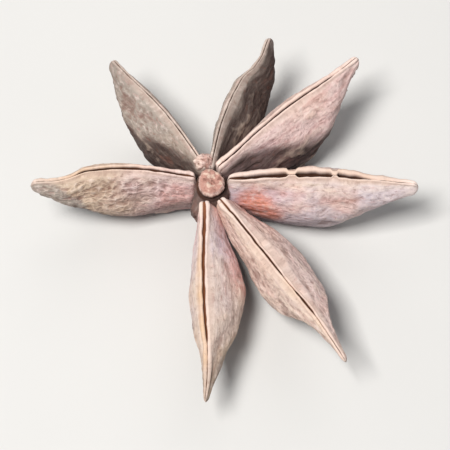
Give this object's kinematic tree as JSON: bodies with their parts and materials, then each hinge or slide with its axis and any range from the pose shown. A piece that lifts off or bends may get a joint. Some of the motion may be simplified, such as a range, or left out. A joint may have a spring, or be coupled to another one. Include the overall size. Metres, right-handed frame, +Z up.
{
  "type": "star anise pod",
  "caption": "Dried star anise pod: boat-shaped seed cases with slit upper edges and pointed beaks, standing like spokes round a short woody column.",
  "frame": {"origin": "centre of the stalk scar under the column, on the plane the pod rests on", "axes": "+Z up along the column, away from the resting plane; +X along the seed case that points right in the picture"},
  "size_m": [0.0341, 0.033, 0.0087],
  "materials": {
    "husk": "dry, wrinkled, matt brown-pink husk with paler lips along the slits"
  },
  "bodies": {
    "root": {"pod": "husk"}
  },
  "joints": []
}
